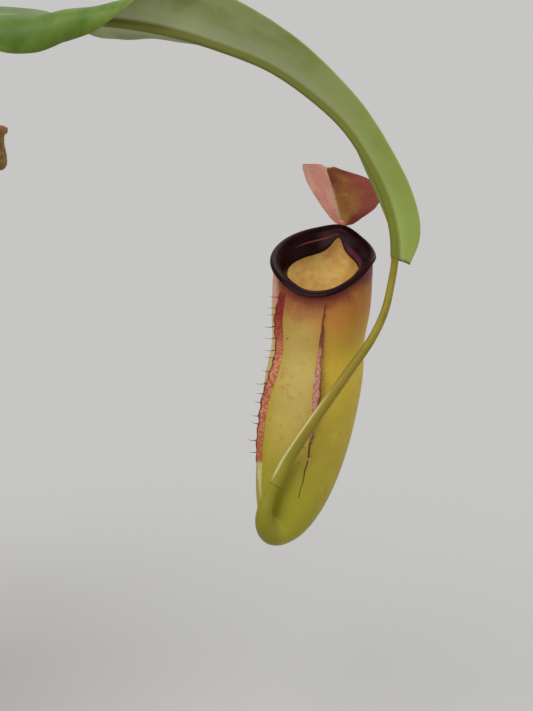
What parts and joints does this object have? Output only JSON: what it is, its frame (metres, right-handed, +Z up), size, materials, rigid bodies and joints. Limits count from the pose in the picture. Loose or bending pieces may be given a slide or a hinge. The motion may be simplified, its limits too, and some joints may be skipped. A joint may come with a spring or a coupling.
{
  "type": "potted pitcher plant",
  "caption": "Tropical pitcher plant in a round clay pot: strap leaves arch from one stem, and their tendrils carry hanging pitchers with lids, collars and fringed wings.",
  "frame": {"origin": "middle of the pot's flat underside, where it stands", "axes": "+Z up, +X along the longest leaf, -Y towards the front of the pitcher that hangs from it"},
  "size_m": [0.3534, 0.2891, 0.3624],
  "materials": {
    "pot_clay": "dry unglazed terracotta with pale bloom",
    "moss_and_bark": "rough, damp moss and bark chips",
    "stem": "satin green-brown bark with old leaf scars",
    "leaf": "smooth, thick and slightly waxy, with a yellow midrib and margin",
    "tendril": "smooth and satin",
    "pitcher_wall": "satin yellow-green, flushed and flecked with red",
    "pitcher_collar": "wet gloss, near-black maroon, finely ribbed",
    "pitcher_lid": "satin rose, speckled, with short hairs",
    "bud": "brown and finely furry"
  },
  "bodies": {
    "root": {"bud_g": "bud", "bud_h": "bud", "bud_i": "bud", "collar_c": "pitcher_collar", "collar_d": "pitcher_collar", "collar_e": "pitcher_collar", "collar_f": "pitcher_collar", "collar_long": "pitcher_collar", "cup_c": "pitcher_wall", "cup_d": "pitcher_wall", "cup_e": "pitcher_wall", "cup_f": "pitcher_wall", "cup_long": "pitcher_wall", "leaf_a": "leaf", "leaf_b": "leaf", "leaf_c": "leaf", "leaf_d": "leaf", "leaf_e": "leaf", "leaf_f": "leaf", "leaf_g": "leaf", "leaf_h": "leaf", "leaf_i": "leaf", "leaf_long": "leaf", "leaf_young": "leaf", "lid_c": "pitcher_lid", "lid_d": "pitcher_lid", "lid_e": "pitcher_lid", "lid_f": "pitcher_lid", "lid_long": "pitcher_lid", "pot": "pot_clay", "soil": "moss_and_bark", "stem": "stem", "tendril_a": "tendril", "tendril_b": "tendril", "tendril_c": "tendril", "tendril_d": "tendril", "tendril_e": "tendril", "tendril_f": "tendril", "tendril_g": "tendril", "tendril_h": "tendril", "tendril_i": "tendril", "tendril_long": "tendril"}
  },
  "joints": []
}
